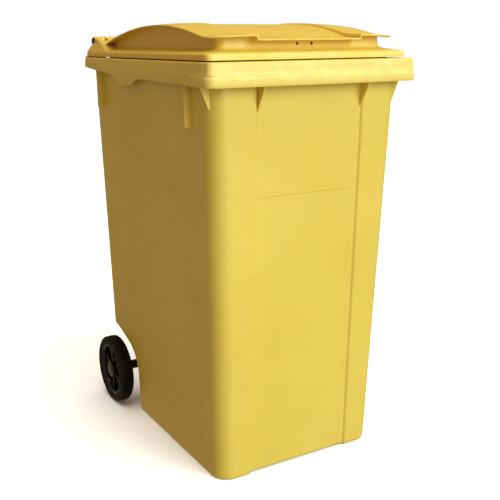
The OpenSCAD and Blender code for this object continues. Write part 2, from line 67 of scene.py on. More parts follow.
# Radii of the hinge's barrel, of the hollow in bar and barrel, and of the bores for pin and axle
BARREL_R, HOLLOW_R = 13.0, 9.5
PIN_BORE_R, PIN_GRIP_R, PIN_SEAT_R = 6.07, 6.03, 10
AXLE_BORE_R = 11.03


# ---------------------------------------------------------------- mesh helpers
def ease(t):
    """0 to 1 with a level start and end."""
    t = np.clip(t, 0.0, 1.0)
    return t * t * (3 - 2 * t)


def arc(cx, cy, r, a, b, n):
    """n + 1 points round a centre, from angle a to angle b in degrees."""
    t = np.radians(np.linspace(a, b, n + 1))
    return np.stack([cx + r * np.cos(t), cy + r * np.sin(t)], 1)


def new_object(name, verts, faces):
    """A closed mesh in millimetres, welded and with its normals outwards."""
    me = bpy.data.meshes.new(name)
    me.from_pydata([tuple(map(float, v)) for v in verts], [], [list(f) for f in faces])
    bm = bmesh.new()
    bm.from_mesh(me)
    bmesh.ops.remove_doubles(bm, verts=bm.verts, dist=0.003)
    bmesh.ops.recalc_face_normals(bm, faces=bm.faces)
    bm.to_mesh(me)
    bm.free()
    ob = bpy.data.objects.new(name, me)
    bpy.context.scene.collection.objects.link(ob)
    return ob


def stack(name, loops, closed_path=True, closed_profile=False):
    """Skins a list of equally long point loops."""
    n = len(loops[0])
    verts = np.concatenate(loops)
    k = len(loops)
    faces = []
    for i in range(k if closed_profile else k - 1):
        a, b = i * n, ((i + 1) % k) * n
        for j in range(n if closed_path else n - 1):
            m = (j + 1) % n
            faces.append((a + j, a + m, b + m, b + j))
    if closed_path and not closed_profile:
        faces.append(tuple(range(n))[::-1])
        faces.append(tuple((k - 1) * n + j for j in range(n)))
    if closed_profile and not closed_path:
        faces.append(tuple(i * n for i in range(k)))
        faces.append(tuple(i * n + n - 1 for i in range(k))[::-1])
    return new_object(name, verts, faces)


def bevel(ob, width, segments=2, angle=28):
    """Rounds every edge sharper than the angle."""
    bm = bmesh.new()
    bm.from_mesh(ob.data)
    edges = [e for e in bm.edges if len(e.link_faces) == 2
             and e.calc_face_angle(0) > math.radians(angle)]
    bmesh.ops.bevel(bm, geom=edges, offset=width, segments=segments, profile=0.5,
                    affect="EDGES", clamp_overlap=True)
    bm.to_mesh(ob.data)
    bm.free()
    return ob


def prism(outline, axis, a, b, round_edges=0.0, segments=2):
    """An outline pushed along an axis from a to b, with rounded edges."""
    pts = [tuple(map(float, p)) for p in outline]
    order = {"x": lambda p, h: (h, p[0], p[1]), "y": lambda p, h: (p[0], h, p[1]),
             "z": lambda p, h: (p[0], p[1], h)}[axis]
    n = len(pts)
    verts = [order(p, a) for p in pts] + [order(p, b) for p in pts]
    faces = [tuple(range(n)), tuple(range(2 * n - 1, n - 1, -1))]
    faces += [(i, (i + 1) % n, n + (i + 1) % n, n + i) for i in range(n)]
    ob = new_object("prism", verts, faces)
    return bevel(ob, round_edges, segments) if round_edges else ob


def lathe(name, profile, y, z, n=96, sign=1):
    """A closed profile of (radius, x) points turned about an axis along x."""
    prof = np.array(profile, float)
    t = np.linspace(0, 2 * math.pi, n, endpoint=False)
    loops = [np.stack([np.full(n, sign * p[1]), y + p[0] * np.cos(t), z + p[0] * np.sin(t)], 1)
             for p in prof]
    return stack(name, loops, closed_path=True, closed_profile=True)


def rod(x0, x1, y, z, r, edge=0.0, n=72):
    """A solid round bar along x."""
    t = np.linspace(0, 2 * math.pi, n, endpoint=False)
    prof = [(r, x0), (r, x1)]
    if edge:
        e = [(r - edge + edge * math.sin(a), x0 + edge - edge * math.cos(a))
             for a in np.radians([0, 30, 60, 90])]
        prof = e + [(q[0], x0 + x1 - q[1]) for q in e[::-1]]
    loops = [np.stack([np.full(n, p[1]), y + p[0] * np.cos(t), z + p[0] * np.sin(t)], 1) for p in prof]
    return stack("rod", loops)


def across(sign, x0, x1):
    """The low and high x of a stretch from x0 to x1 on one side of the bin."""
    return sorted((sign * x0, sign * x1))


def csg(base, op, *tools):
    """Joins tools to base, or cuts them out of it."""
    for tool in tools:
        mod = base.modifiers.new("csg", "BOOLEAN")
        mod.object, mod.operation, mod.solver = tool, op, "MANIFOLD"
        graph = bpy.context.evaluated_depsgraph_get()
        made = bpy.data.meshes.new_from_object(base.evaluated_get(graph))
        base.modifiers.clear()
        base.data = made
        bpy.data.objects.remove(tool)
    return base


def place(ob, name, body, replaces, material, sharp=32):
    ob.name = name
    ob.data.name = name
    ob.data.transform(Matrix.Translation((0, -SHIFT / 1000, 0)) @ Matrix.Scale(0.001, 4))
    bm = bmesh.new()
    bm.from_mesh(ob.data)
    bmesh.ops.dissolve_degenerate(bm, dist=2e-6, edges=bm.edges)
    bm.to_mesh(ob.data)
    bm.free()
    ob.data.polygons.foreach_set("use_smooth", [True] * len(ob.data.polygons))
    ob.data.set_sharp_from_angle(angle=math.radians(sharp))
    ob.data.materials.clear()
    ob.data.materials.append(material)
    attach(ob, body)
    if replaces:
        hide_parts(*replaces)
    return ob


def interp(x, pts):
    """Straight lines through a list of (x, value) points."""
    p = np.array(pts, float)
    return np.interp(x, p[:, 0], p[:, 1])


# ---------------------------------------------------------------- plan outlines
# Stations are closer where the front panel's edges fall
FRONT_X = np.unique(np.round(np.concatenate([
    np.linspace(-160, 160, 33), np.arange(135, 157, 1.5), -np.arange(135, 157, 1.5)]), 3))


def front_stations(end):
    """x stations across the front, fixed in the middle and stretched at the ends."""
    out = 160 + (end - 160) * np.array([1 / 3, 2 / 3, 1.0])
    return np.concatenate([-out[::-1], FRONT_X, out])


def c_path(half, front, rf, back, rear_in, n_side=190):
    """Open plan outline from the back left round the front to the back right."""
    rb = 6.0
    rear = np.linspace(rear_in, half - rb, 6)
    side = np.linspace(back - rb, front + rf, n_side)
    left = np.concatenate([
        np.stack([-rear, np.full(6, back)], 1),
        arc(-half + rb, back - rb, rb, 90, 180, 5)[1:],
        np.stack([np.full(n_side - 1, -half), side[1:]], 1),
        arc(-half + rf, front + rf, rf, 180, 270, 14)[1:]])
    xs = front_stations(half - rf)
    mid = np.stack([xs[1:-1], np.full(len(xs) - 2, front)], 1)
    right = left[::-1] * [-1, 1]
    return np.concatenate([left, mid, right])


def at_height(path, z):
    """A plan outline lifted to one height, or to a height for each point."""
    z = np.broadcast_to(z, (len(path),))
    return np.column_stack([path, z])


# ---------------------------------------------------------------- body
# The bucket widens evenly from the ground up
TAPER_TOP = 968
HALF_LOW, HALF_HIGH = 234.5, 260.5
FRONT_LOW, FRONT_HIGH = 70.5, 26.5
X_TAPER = (HALF_HIGH - HALF_LOW) / TAPER_TOP
Y_TAPER = (FRONT_LOW - FRONT_HIGH) / TAPER_TOP
FRONT_R, BACK_R = 44.0, 20.0
WALL = 4.0
FLOOR_Z, FLOOR_ROUND = 12, 6
# Sunk panel of the front, and the shallow step across it
PANEL_HALF, PANEL_DEPTH, PANEL_EDGE = 147.0, 5.0, 7.0
STEP_HALF, STEP_DEPTH, STEP_Z = 136, 1.1, 716
STEP_END, STEP_RISE = 5.0, 2.4
# Arched relief of the side walls: its outline as (z, y) points, its depth and the width of its edge
ARCH_DEPTH, ARCH_EDGE = 1.5, 5.2
ARCH = [(14, 354), (640, 351), (668, 352), (695, 358), (717, 371), (745, 391), (776, 420),
        (800, 446), (818, 474), (828, 505), (834, 560), (838, 640), (841, 760)]
SIDE_Y = np.concatenate([np.arange(130, 335, 12.0), np.arange(335, 640, 3.5), np.arange(642, 706, 8.0)])


def bucket_loop(z, inset=0.0, carved=True, rf=FRONT_R, rb=BACK_R):
    """One ring of the tapered bucket: outer skin when inset is 0, with its reliefs when carved."""
    half = HALF_LOW + X_TAPER * z - inset
    y0 = FRONT_LOW - Y_TAPER * z + inset
    y1 = BACK_Y - inset
    rf, rb = rf - inset, rb - inset
    y_first = y0 + rf
    thirds = np.array([0, 1 / 3, 2 / 3])
    side = np.concatenate([y_first + (SIDE_Y[0] - y_first) * thirds, SIDE_Y, [y1 - rb]])
    side = np.minimum(side, y1 - rb)
    depth = arch_depth(side, z) if carved else np.zeros(len(side))
    left = np.stack([-half + depth, side], 1)[::-1]
    xs = front_stations(half - rf)
    panel = PANEL_DEPTH * ease((PANEL_HALF + PANEL_EDGE / 2 - np.abs(xs)) / PANEL_EDGE)
    if carved:
        across_panel = ease((STEP_HALF - np.abs(xs)) / STEP_END)
        panel += STEP_DEPTH * across_panel * ease((STEP_Z - z) / STEP_RISE)
    front = np.stack([xs, y0 + panel], 1)
    back = np.stack([np.linspace(half - rb, -half + rb, 14), np.full(14, y1)], 1)
    return at_height(np.concatenate([
        left,
        arc(-half + rf, y0 + rf, rf, 180, 270, 16)[1:-1],
        front,
        arc(half - rf, y0 + rf, rf, 270, 360, 16)[1:-1],
        left[::-1] * [-1, 1],
        arc(half - rb, y1 - rb, rb, 0, 90, 8)[1:-1],
        back,
        arc(-half + rb, y1 - rb, rb, 90, 180, 8)[1:-1]]), z)


def arch_depth(y, z):
    """Depth of the shallow arched relief in the side walls."""
    line = np.array(ARCH, float)[:, ::-1]
    a, b = line[:-1], line[1:]
    p = np.stack([y, np.full(len(y), z)], 1)[:, None, :]
    ab = b - a
    t = np.clip(((p - a) * ab).sum(2) / (ab * ab).sum(1), 0, 1)
    dist = np.sqrt((((a + t[..., None] * ab) - p) ** 2).sum(2)).min(1)
    edge = np.interp(z, line[:, 1], line[:, 0], left=line[0, 0], right=1e4)
    return ARCH_DEPTH * ease((np.where(y > edge, dist, -dist) + ARCH_EDGE / 2) / ARCH_EDGE)


def foot_round(z, r=9.0):
    """How far the wall draws in near the ground."""
    return 0.0 if z >= r else 0.7 * (r - math.sqrt(r * r - (r - z) ** 2))


def bay(grow):
    """Side outline of the space for axle and wheels behind the foot."""
    return np.concatenate([
        [[550 - grow, -20], [560 - grow, 55]],
        arc(655, 112 + grow, 95 + grow, 180, 104, 24),
        [[BACK_Y - 50, 222 + grow]],
        arc(BACK_Y - 36, 266 + grow, 41, -60, 0, 12),
        [[BACK_Y + 40, 316 + grow], [BACK_Y + 40, -20]]])


def recess(wall_y, floor_front_z, floor_back_z, top, half):
    """Space for a hand behind the upper wall; its floor slopes down to the back."""
    back = BACK_Y + 20
    outline = [(back, floor_back_z), (wall_y, floor_front_z), (wall_y, top), (back, top)]
    return prism(outline, "x", -half, half, 5.0, 3)


def bracket(x0, x1, root_y):
    """Web and boss that hold the handle bar."""
    outline = [(root_y, 915), (729, 915), (764, 992), (766, 1013), (750, 1019.5), (root_y, 1019.5)]
    return [prism(outline, "x", x0, x1, 1.2), rod(x0, x1, BAR_Y, BAR_Z, BAR_R + 4, 1.2)]


def hinge_lug(x0, x1):
    """Upright on the outer bracket with the eye of the lid's hinge."""
    outline = [(727, 1001.5), (751, 1001.5), (751, 1066), (727, 1066)]
    return [prism(outline, "x", x0, x1, 1.2), rod(x0, x1, HINGE_Y, HINGE_Z, BARREL_R, 1.2)]


def axle_support(x0, x1):
    """Tube round the axle and two webs, each with a lightening hole."""
    thick = 5
    outline = [(557, 30), (678, 81.5), (692.5, 100), (688, 130), (664, 232), (600, 228), (557, 130)]
    pieces = [rod(x0, x1, AXLE_Y, AXLE_Z, 19, 1.0)]
    for x in (x0, x1 - thick):
        web = prism(outline, "x", x, x + thick, 0.8)
        csg(web, "DIFFERENCE", rod(x - 1, x + thick + 1, 612, 150, 22))
        pieces.append(web)
    return pieces


def front_gusset(x):
    """Triangle under the rim at an edge of the front panel."""
    outline = [(42, 911), (33, 911), (-2.2, 968.5), (1, 1010), (42, 1010)]
    return prism(outline, "x", x - 1.6, x + 1.6, 0.7)


def side_rib(sign, y, low, foot_x, reach):
    """Thin upright between the side wall and the skirt."""
    outline = [(250, low), (foot_x, low), (reach, 972), (reach, 1010), (250, 1010)]
    return prism([(sign * x, z) for x, z in outline], "y", y, y + 3.2, 0.7)


def bucket_inside():
    """The space inside the walls, less the wheel bay and the hand recess with their own walls."""
    levels = (12, 13, 14.5, 16.5, 18, 60, 300, 700, 1035)
    insets = [WALL + max(0.0, FLOOR_ROUND - (z - FLOOR_Z)) ** 2 / (2 * FLOOR_ROUND) for z in levels]
    core = stack("core", [bucket_loop(z, inset, carved=False) for z, inset in zip(levels, insets)])
    return csg(core, "DIFFERENCE", prism(bay(WALL), "x", -400, 400), recess(702, 903.7, 835, 1050, 226))


def make_body():
    """The whole moulding: bucket, foot, rim, ribs, brackets, handle bar and axle supports."""
    foot_levels = [0, 0.7, 2.0, 3.8, 6.2, 9]
    step_levels = [713.2, 714.0, 714.8, 715.6, 716.4]
    top_levels = [1018.5, 1020.2]
    levels = np.unique(np.concatenate([foot_levels, np.arange(14, 1017, 4.5), step_levels, top_levels]))
    outer = []
    for z in levels:
        inset = 1.5 if z > 1019 else foot_round(z)
        outer.append(bucket_loop(z, inset, rf=FRONT_R + inset * 0.3, rb=BACK_R + inset * 0.3))
    shell = stack("bin_shell", outer)
    foot_arch = prism([(-145, -30), (-145, 5), (145, 5), (145, -30)], "y", -60, 640, 2.0, 2)
    csg(shell, "DIFFERENCE", prism(bay(0), "x", -400, 400), recess(706, 905, 842, 1040, 222), foot_arch)
    parts = [make_rim(), front_gusset(-144), front_gusset(144)]
    for sign in (-1, 1):
        parts += [side_rib(sign, 50.5, 920, 257, 279), side_rib(sign, 131, 876, 275.5, 276.5),
                  side_rib(sign, 655, 889, 281, 281.5)]
        outer_x = across(sign, 223, 235)
        parts += bracket(*outer_x, 701) + hinge_lug(*outer_x)
        parts += bracket(*across(sign, 72, 80), 704)
        parts += axle_support(*across(sign, 142, 184))
    parts.append(rod(-224, 224, BAR_Y, BAR_Z, BAR_R))
    csg(shell, "UNION", *parts)
    core = bucket_inside()
    bores = [rod(-240, 240, BAR_Y, BAR_Z, HOLLOW_R)]
    for sign in (-1, 1):
        bores.append(rod(*across(sign, 215, 245), HINGE_Y, HINGE_Z, PIN_BORE_R))
        bores.append(rod(*across(sign, 140, 186), AXLE_Y, AXLE_Z, AXLE_BORE_R))
    csg(shell, "DIFFERENCE", core, *bores)
    return shell


def skirt_bottom(y):
    """Lower edge of the rim's skirt along a side, with its lobe."""
    pts = [(-30, 968), (16, 968.5), (133, 972), (294, 974.5), (366, 975), (384, 972), (398, 966),
           (412, 960.5), (430, 957), (462, 955), (486, 956.5), (504, 962), (520, 970), (534, 977),
           (546, 981), (562, 983.2), (653, 988), (745, 996)]
    grid = np.arange(-60, 800, 1.0)
    raw = interp(grid, pts)
    kernel = np.exp(-0.5 * (np.arange(-9, 10) / 3.2) ** 2)
    soft = np.convolve(np.pad(raw, 9, "edge"), kernel / kernel.sum(), "valid")
    return np.interp(y, grid, soft)


def make_rim():
    """The rim's deck, upper band, flared lower band and skirt, as one swept section."""
    def ring(half, z, front, rf, flare=0.0, back=REAR_END, lift=None):
        base = c_path(half, front, rf, back, 223.0)
        if flare:
            wide = c_path(half + flare, front - flare * 1.2, 21.0, back, 223.0)
            w = ease((118 - base[:, 1]) / 60.0)[:, None]
            base = base + (wide - base) * w
        z = np.full(len(base), float(z))
        if lift is not None:
            z = np.maximum(z, skirt_bottom(base[:, 1]) + lift)
        return at_height(base, z)

    loops = [
        ring(257.3, 1015.5, front=29, rf=40, back=BACK_Y - 3),
        ring(257.3, 1020.3, front=29, rf=40, back=BACK_Y - 3),
        ring(258.4, RIM_TOP, front=28, rf=40, back=BACK_Y - 2),
        ring(277.6, RIM_TOP, front=4.6, rf=9, back=REAR_END - 3.5),
        ring(279.6, 1021.0, front=2.6, rf=11, back=REAR_END - 1.6),
        ring(280.9, 1019.7, front=1.3, rf=12, back=REAR_END - 0.5),
        ring(281.4, 1017.6, front=0.8, rf=12, lift=30),
        ring(283.0, 1005.0, front=-0.2, rf=12, lift=22),
        ring(284.2, 994.9, front=-0.9, rf=13, lift=16),
    ]
    for dz, fl in ((994.0, 0.4), (992.0, 1.4), (989.5, 2.5), (987.0, 3.1), (984.5, 3.3)):
        loops.append(ring(284.5, dz, flare=fl, front=-0.9, rf=13, lift=15 - (994 - dz)))
    loops += [
        ring(284.6, 975, flare=3.1, front=-0.7, rf=13, lift=4.0),
        ring(284.5, 0, flare=3.0, front=-0.7, rf=13, lift=1.3),
        ring(283.9, 0, flare=3.0, front=-0.2, rf=13, lift=0.3),
        ring(283.0, 0, flare=3.0, front=0.6, rf=12, lift=0.0, back=REAR_END - 1.2),
        ring(282.1, 0, flare=3.0, front=1.4, rf=11, lift=0.3, back=REAR_END - 2.2),
        ring(281.6, 0, flare=3.0, front=2.0, rf=11, lift=1.3, back=REAR_END - 2.8),
        ring(281.3, 986, flare=2.6, front=2.3, rf=10, lift=6.0, back=REAR_END - 3),
        ring(280.5, 991.5, flare=0, front=3.0, rf=9, lift=10.0, back=REAR_END - 3.2),
        ring(278.6, 1014.0, front=4.6, rf=8, back=REAR_END - 3.5),
        ring(276.6, 1017.3, front=6.8, rf=8, back=REAR_END - 4.5),
        ring(262.0, 1017.3, front=24.5, rf=38, back=BACK_Y - 1.5),
        ring(259.8, 1015.0, front=26.6, rf=40, back=BACK_Y - 1.5),
    ]
    return stack("rim", loops, closed_path=False, closed_profile=True)


# ---------------------------------------------------------------- lid
MIDDLE_Y = 330
ROOF_HALF, LIP_Y, ROOF_BACK, ROOF_T, ROOF_CORNER = 247.0, 33.0, 696.0, 3.6, 32.0
CHANNEL_HALF = 138.6
STEP_WALL = 2.4


def soft_max(a, b):
    """The larger of two heights, rounded where they cross."""
    sharpness = 0.7
    return np.logaddexp(a * sharpness, b * sharpness) / sharpness


def crown(y, top, front_drop):
    """Height along the roof, which falls to the front and back from its middle."""
    front = top - front_drop * ((MIDDLE_Y - y) / 230.0) ** 2
    back = top - 48.0 * ((y - MIDDLE_Y) / 350.0) ** 2
    return np.where(y < MIDDLE_Y, front, back)


def lipped(y, lip_z, rise, line):
    """A crown line that flattens to the lip towards the front edge."""
    return np.where(y < 220, soft_max(lip_z + (y - LIP_Y) * rise, line), line)


def wing_z(y):
    """Crown line of the raised wings."""
    return lipped(y, 1077.2, 0.03, crown(y, 1107.6, 27.0))


def channel_z(y):
    """Crown line of the channel between the wings."""
    return lipped(y, 1068.3, 0.05, crown(y, 1104.6, 31.0))


def roof_z(x, y):
    """Top of the roof: a channel down the middle, a short step, and a wing on each side."""
    ax = np.abs(x)
    t = np.clip((ax - 139) / 108.0, 0, 1)
    wing = wing_z(y) - 5.0 * t ** 2 * ease((y - 20) / 60.0 + 0.35)
    return channel_z(y) + (wing - channel_z(y)) * ease((ax - CHANNEL_HALF) / 3.4)


def towards_middle(x):
    """x moved inwards by the thickness of the step's wall."""
    return np.sign(x) * np.maximum(np.abs(x) - STEP_WALL, 0)


def under_roof(x, y):
    """Underside of the roof, moved over near the step so that its wall keeps a thickness."""
    return np.where(np.abs(x) < 160, roof_z(towards_middle(x), y), roof_z(x, y)) - ROOF_T


def edge_distance(x, y):
    """Distance inwards from the edge of the roof's plan, at its front and sides."""
    ax = np.abs(x)
    cx, cy = ROOF_HALF - ROOF_CORNER, LIP_Y + ROOF_CORNER
    d = np.minimum(ROOF_HALF - ax, y - LIP_Y)
    corner = (ax > cx) & (y < cy)
    return np.where(corner, ROOF_CORNER - np.hypot(ax - cx, y - cy), d)


def make_roof():
    """Crowned plate with a rounded edge, on a grid that is finer at the step and the edges."""
    near = np.array([0, 0.2, 0.55, 1.1, 1.8, 3.2])
    step = [135, 137, 138, 138.6, 139, 139.4, 139.8, 140.3, 140.8, 141.3, 141.7, 142.1, 143, 144,
            145, 147, 150, 156]
    half_x = np.concatenate([np.linspace(0, 132, 12), step, np.arange(164, 240, 7.0),
                             (ROOF_HALF - near)[::-1]])
    xs = np.unique(np.round(np.concatenate([-half_x, half_x]), 4))
    lip = [38, 41, 45, 49, 53, 57, 61, 65, 70, 76, 83]
    ys = np.concatenate([LIP_Y + near, lip, np.arange(90, ROOF_BACK - 3, 9.0), [ROOF_BACK]])
    c = ROOF_CORNER
    fixed_x = 190
    r = ROOF_T / 2
    rows_top, rows_low = [], []
    for y in ys:
        hw = ROOF_HALF - c + math.sqrt(max(0.0, c * c - max(0.0, c - (y - LIP_Y)) ** 2))
        ax = np.abs(xs)
        squeezed = fixed_x + (ax - fixed_x) * (hw - fixed_x) / (ROOF_HALF - fixed_x)
        px = np.where(ax > fixed_x, squeezed, ax) * np.sign(xs)
        d = np.clip(edge_distance(px, y), 0, None)
        drop = np.where(d < r, r - np.sqrt(np.clip(r * r - (r - d) ** 2, 0, None)), 0.0)
        top = roof_z(px, y) - drop
        low = np.minimum(under_roof(px, y) + drop, top)
        rows_top.append(np.stack([px, np.full(len(xs), y), top], 1))
        rows_low.append(np.stack([px, np.full(len(xs), y), low], 1))
    n, k = len(xs), len(ys)
    off = n * k
    faces = []
    for i in range(k - 1):
        for j in range(n - 1):
            a = i * n + j
            faces.append((a, a + 1, a + n + 1, a + n))
            faces.append((off + a, off + a + n, off + a + n + 1, off + a + 1))
    for j in range(n - 1):
        for a in (j, (k - 1) * n + j):
            faces.append((a, a + 1, off + a + 1, off + a))
    for i in range(k - 1):
        for a in (i * n, i * n + n - 1):
            faces.append((a, a + n, off + a + n, off + a))
    return new_object("roof", np.concatenate(rows_top + rows_low), faces)


FLANGE_HALF = 273


def make_tub():
    """Box walls, shelf, flange and edge skirt of the lid as one swept section."""
    def ring(half, z, front=None, rf=None, back=698.0, top=False):
        outwards = (FLANGE_HALF - half) / 49.0
        front = 21 + outwards * 41 if front is None else front
        rf = 15 + outwards * 7 if rf is None else rf
        path = c_path(half, front, rf, back, 150.0)
        if top:
            return at_height(path, np.maximum(under_roof(path[:, 0], path[:, 1]) + z, 1050.0))
        return at_height(path, z)

    outer = [
        (270.6, 1024.5, 23.4, 13.0), (271.9, 1024.5, 22.1, 14.0), (272.7, 1024.9, 21.3, 15.0),
        (273.0, 1025.8, 21.0, 15.0), (272.8, 1034.0, 21.2, 15.0), (272.3, 1036.0, 21.7, 15.0),
        (271.2, 1037.5, 22.8, 15.0), (269.4, 1038.4, 24.6, 15.0)]
    loops = [ring(h, z, f, r) for h, z, f, r in outer]
    for half, z in ((262, 1040.0), (250, 1042.3), (238, 1044.6), (232.5, 1046.0), (229.0, 1047.8),
                    (226.8, 1050.4), (225.6, 1053.6)):
        loops.append(ring(half, z))
    loops.append(ring(224.2, 0.4, top=True))
    loops.append(ring(220.8, 0.4, 65.5, 19, 694.0, top=True))
    for half, z, front in ((221.8, 1052.0, 64.5), (223.0, 1047.0, 63.2), (226.5, 1043.4, 60.0),
                           (238.0, 1040.9, 50.5), (255.0, 1037.6, 36.5), (266.0, 1034.8, 27.5),
                           (269.0, 1032.5, 24.6), (269.6, 1026.0, 24.2)):
        loops.append(ring(half, z, front, 15, 694.0))
    return stack("tub", loops, closed_path=False, closed_profile=True)


RAMP_TOP = [(570, 1036.8), (585, 1037.4), (600, 1039.6), (615, 1043.2), (635, 1048.9), (655, 1055.2),
            (690, 1064.6), (731, 1075.2), (743, 1077.0)]
RAMP_SIDE = [(1000, 272.9), (1034, 272.9), (1040, 269.8), (1046, 265.5), (1054, 259.4), (1060, 255.6),
             (1066, 253.2), (1100, 253.0)]


def ramp(y0, y1, wall):
    """The rear part of the lid, which rises to the hinge; wall measures inwards."""
    loops = []
    for y in np.linspace(y0, y1, 34):
        top = float(interp(y, RAMP_TOP)) - wall
        low = 1024.5 if wall == 0 else 1015.0
        r = 4.0 if wall == 0 else 2.0
        bend = r * np.sin(np.radians([22.5, 45, 67.5, 90]))
        zs = np.concatenate([np.linspace(low, top - r, 14), top - r + bend])
        w = interp(zs, RAMP_SIDE) - wall
        w = w - np.where(zs > top - r, r - np.sqrt(np.clip(r * r - (zs - top + r) ** 2, 0, None)), 0)
        right = np.stack([w, np.full(len(zs), y), zs], 1)
        mid = np.stack([np.linspace(w[-1], -w[-1], 9)[1:-1], np.full(7, y), np.full(7, top)], 1)
        loops.append(np.concatenate([right, mid, right[::-1] * [-1, 1, 1]]))
    return stack("ramp", loops)


DOME_HALF, DOME_FRONT, DOME_BACK, SHELF_Z = 219.5, 72, 676, 1046


def dome_space():
    """The hollow under the roof: a straight-sided opening and a crowned top."""
    corners = [(-DOME_HALF, DOME_FRONT), (DOME_HALF, DOME_FRONT),
               (DOME_HALF, DOME_BACK), (-DOME_HALF, DOME_BACK)]
    hollow = prism(corners, "z", 1000, SHELF_Z)
    row = np.linspace(-DOME_HALF, DOME_HALF, 81)
    loops = []
    for y in np.linspace(DOME_FRONT, DOME_BACK, 60):
        ys = np.full(len(row), y)
        top = np.stack([row, ys, roof_z(towards_middle(row), ys) - 2.0], 1)
        low = np.stack([row[::-1], ys, np.full(len(row), SHELF_Z - 6.0)], 1)
        loops.append(np.concatenate([top, low]))
    return csg(hollow, "UNION", stack("dome", loops))


def locating_rib():
    """Rib under the lid's shelf that drops inside the rim."""
    sections = ((243.2, 42.8, 33, 1012.5), (244, 42, 34, 1013.5), (244.6, 41.4, 34, 1041.5),
                (240.8, 45.2, 31, 1041.5), (241.5, 44.5, 31.5, 1013.5), (242.3, 43.7, 32, 1012.5))
    loops = [at_height(c_path(half, front, rf, 650.0, 225.0), z) for half, front, rf, z in sections]
    return stack("rib", loops, closed_path=False, closed_profile=True)


def make_lid():
    """The whole lid: tub, ramp, roof, hinge knuckles and locating rib, with its bores and small holes."""
    ramp_shell = csg(ramp(575, 743, 0), "DIFFERENCE", ramp(560, 740, 3.5))
    lid = make_tub()
    csg(lid, "UNION", ramp_shell)
    hollow = dome_space()
    slots = [prism([(x0, 700), (x1, 700), (x1, 800), (x0, 800)], "z", 1010, 1110)
             for x0, x1 in (across(1, 221, 237), across(-1, 221, 237))]
    csg(lid, "DIFFERENCE", hollow, *slots)
    parts = [make_roof(), rod(-201, 201, HINGE_Y, HINGE_Z, BARREL_R)]
    web = [(697, 1037), (697, 1063), (731, 1074), (740, 1075), (746, 1059), (734, 1054)]
    for sign in (-1, 1):
        parts.append(rod(*across(sign, 237, 253), HINGE_Y, HINGE_Z, BARREL_R, 1.3))
        parts.append(rod(*across(sign, 199, 221), HINGE_Y, HINGE_Z, BARREL_R, 1.3))
        for x in (237, 218):
            parts.append(prism(web, "x", *across(sign, x, x + 3), 0.6))
    parts.append(locating_rib())
    csg(lid, "UNION", *parts)
    bores = [rod(-199, 199, HINGE_Y, HINGE_Z, HOLLOW_R)]
    for sign in (-1, 1):
        bores.append(rod(*across(sign, 191, 256), HINGE_Y, HINGE_Z, PIN_GRIP_R))
        bores.append(rod(*across(sign, 253.02, 275), HINGE_Y, HINGE_Z, PIN_SEAT_R))
        t = np.linspace(0, 2 * math.pi, 32, endpoint=False)
        small_hole = np.stack([sign * 20 + 3.5 * np.cos(t), 1057.7 + 3.5 * np.sin(t)], 1)
        bores.append(prism(small_hole, "y", 55, 75))
    csg(lid, "DIFFERENCE", *bores)
    return lid


# ---------------------------------------------------------------- wheels and pins
WHEEL_OUT, WHEEL_IN = 283.0, 243.0
LOCK_X = WHEEL_OUT - 21
HUB_BORE_R = 11.07
SPOKES = 6


def make_tyre(sign):
    """Solid tyre: flat side with a shallow ring, rounded shoulder and seven grooves round the tread."""
    inner, mid = WHEEL_IN, (WHEEL_OUT + WHEEL_IN) / 2
    half = [(76.0, inner + 3.2), (77.0, inner + 2.0), (80.0, inner + 0.6), (83.0, inner + 0.0),
            (84.0, inner + 0.9), (85.2, inner + 0.9), (86.2, inner + 0.1), (89.5, inner + 0.6)]
    half += [(90.6 + 8.6 * math.sin(t), inner + 8.4 - 7.6 * math.cos(t))
             for t in np.radians([10, 30, 50, 70, 84])]
    grooves = []
    for x in (-9.9, -6.6, -3.3, 0.0, 3.3, 6.6, 9.9):
        for dx, r in ((-0.95, 99.8), (-0.55, 98.2), (0.55, 98.2), (0.95, 99.8)):
            grooves.append((r, mid + x + dx))
    far = [(r, 2 * mid - x) for r, x in half[::-1]]
    return lathe("tyre", half + grooves + far, AXLE_Y, AXLE_Z, 128, sign)


def spoke(number, sign):
    """One rib of the hub, wider towards the boss."""
    outline = [(-3.2, 19.0), (3.2, 19.0), (2.2, 68.5), (-2.2, 68.5)]
    rib = prism(outline, "x", 249.5, 273.5, 1.1)
    rib.data.transform(Matrix.Rotation(math.radians(360 / SPOKES * number), 4, "X"))
    if sign < 0:
        rib.data.transform(Matrix.Diagonal((-1, 1, 1, 1)))
        rib.data.flip_normals()
    rib.data.transform(Matrix.Translation((0, AXLE_Y, AXLE_Z)))
    return rib


def post(sign, r, z0, z1, soft=0.0):
    """Upright round bar from the axle outwards, over the locking pin; soft rounds its top edge."""
    profile = [(r, z0), (r, z1)]
    if soft:
        profile = [(r, z0), (r, z1 - soft), (r - soft * 0.3, z1 - soft * 0.3), (r - soft, z1)]
    t = np.linspace(0, 2 * math.pi, 48, endpoint=False)
    x = sign * LOCK_X
    return stack("post", [np.stack([x + q * np.cos(t), AXLE_Y + q * np.sin(t),
                                    np.full(48, AXLE_Z + z)], 1) for q, z in profile])


